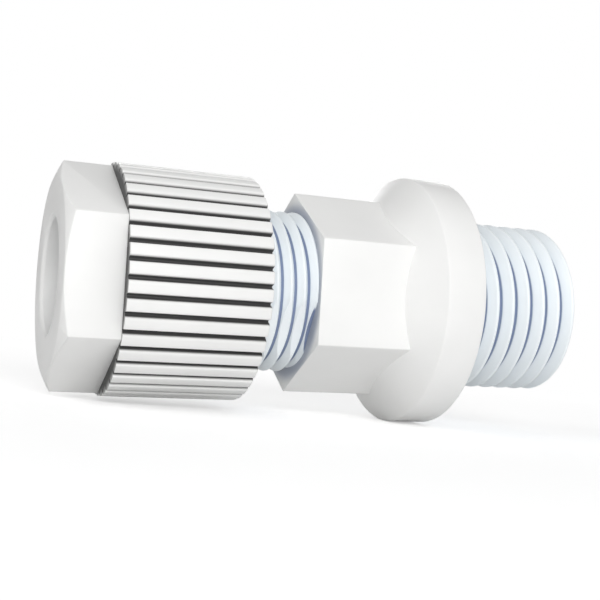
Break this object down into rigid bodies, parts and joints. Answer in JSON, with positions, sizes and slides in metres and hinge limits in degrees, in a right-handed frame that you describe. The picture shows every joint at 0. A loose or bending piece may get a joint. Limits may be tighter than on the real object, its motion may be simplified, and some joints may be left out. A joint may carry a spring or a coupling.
{
  "type": "straight male fitting",
  "caption": "Straight plastic tube fitting with a knurled union nut at one end, a flanged hexagon, and a male pipe thread at the other end.",
  "frame": {"origin": "on the axis, in the plane of the flange's sealing face", "axes": "+X along the axis, out of the pipe thread; +Z through a corner of both hexagons"},
  "size_m": [0.0393, 0.019, 0.019],
  "materials": {
    "natural_white_plastic": "satin",
    "ring_plastic": "satin"
  },
  "bodies": {
    "body": {"fitting_body": "natural_white_plastic"},
    "ring": {"clamping_ring": "ring_plastic"},
    "nut": {"union_nut": "natural_white_plastic"}
  },
  "joints": [
    {"name": "ring_travel", "type": "slide", "parent": "body", "child": "ring", "axis": [-1, 0, 0], "range_m": [0, 0.007]},
    {"name": "nut_turn", "type": "hinge", "parent": "ring", "child": "nut", "pos_m": [-0.0225, 0, 0], "axis": [-1, 0, 0], "range_deg": [0, 2519]}
  ],
  "couplings": [
    {"joint": "ring_travel", "follows": "nut_turn", "m_per_rad": 0.00015915}
  ]
}
